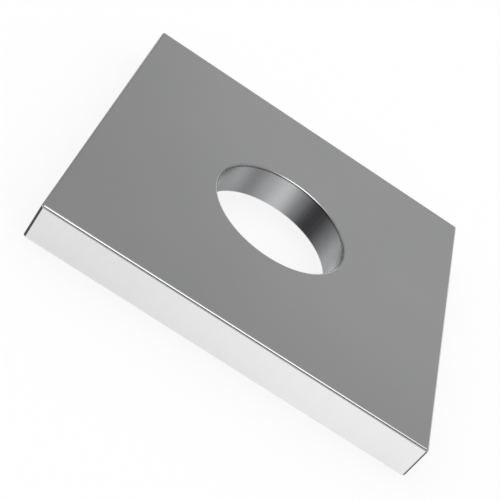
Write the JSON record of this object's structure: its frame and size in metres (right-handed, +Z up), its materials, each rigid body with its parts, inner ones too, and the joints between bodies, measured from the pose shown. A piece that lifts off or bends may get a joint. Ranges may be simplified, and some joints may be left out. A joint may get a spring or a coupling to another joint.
{
  "type": "square plate washer",
  "caption": "Flat square steel plate washer with a round clearance hole in its middle, which spreads the load of a bolt head or nut.",
  "frame": {"origin": "middle of the hole on the lower bearing face, which lies on the ground", "axes": "+Z up through the hole, square to both bearing faces; X and Y square to the sides"},
  "size_m": [0.03, 0.03, 0.003],
  "materials": {
    "bright_steel": "bright and smooth"
  },
  "bodies": {
    "root": {"square_washer": "bright_steel"}
  },
  "joints": []
}
